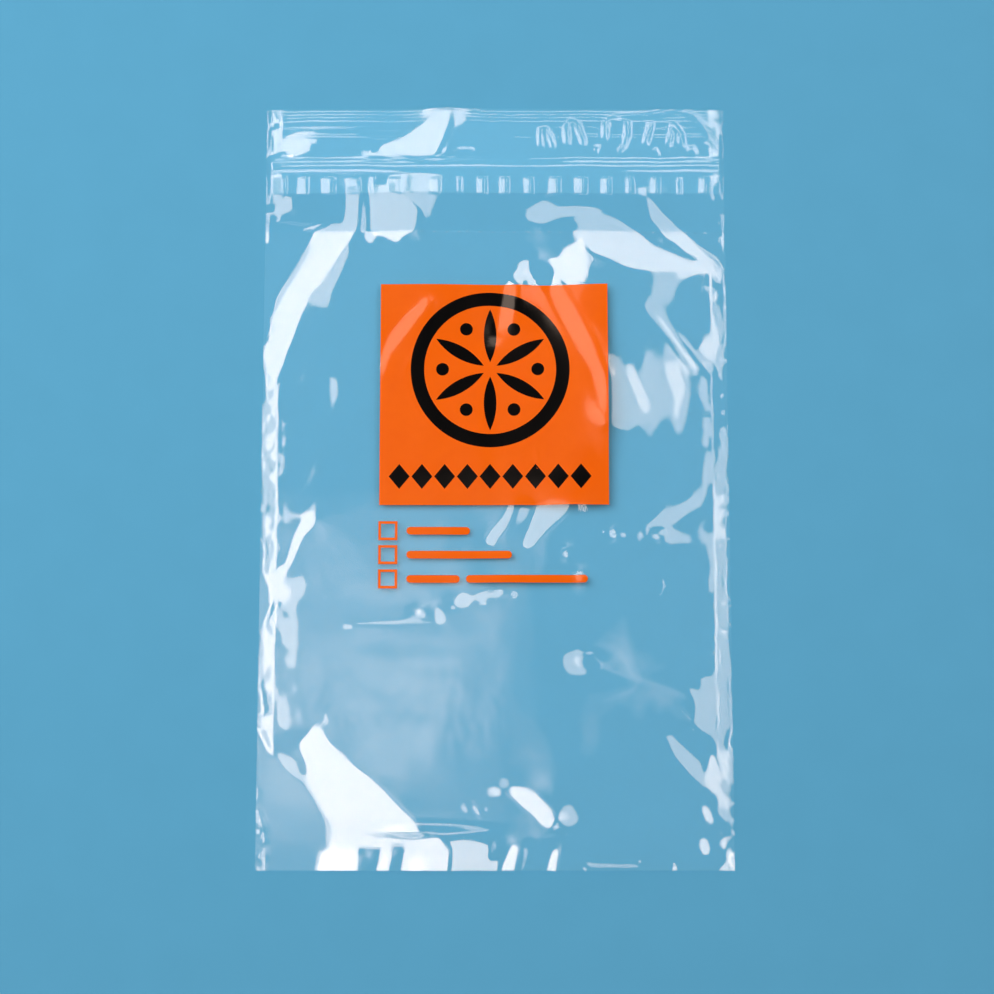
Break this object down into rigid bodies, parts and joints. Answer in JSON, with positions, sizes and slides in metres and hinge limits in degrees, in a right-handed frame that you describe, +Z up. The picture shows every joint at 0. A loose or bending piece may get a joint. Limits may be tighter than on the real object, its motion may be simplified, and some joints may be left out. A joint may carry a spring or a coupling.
{
  "type": "biohazard zipper bag",
  "caption": "Flat clear press-to-close specimen bag with a zipper track, a document pocket on its front and a printed panel.",
  "frame": {"origin": "middle of the bag's footprint, on the surface that its back wall lies on", "axes": "+Y along the bag towards the zipper and the mouth, +X across it to the right of the printed side, +Z up out of the printed side"},
  "size_m": [0.1524, 0.251, 0.0033],
  "materials": {
    "film": "clear polyethylene film, glossy and finely wrinkled",
    "zipper_track": "clear extruded polyethylene, slightly milky, with fine lengthwise ribs",
    "orange_ink": "flat printed ink on film",
    "black_ink": "flat printed ink on film"
  },
  "bodies": {
    "root": {"back_wall": "film", "front_wall": "film", "document_pocket_wall": "film", "zipper_track_female": "zipper_track", "zipper_track_male": "zipper_track"}
  },
  "joints": []
}
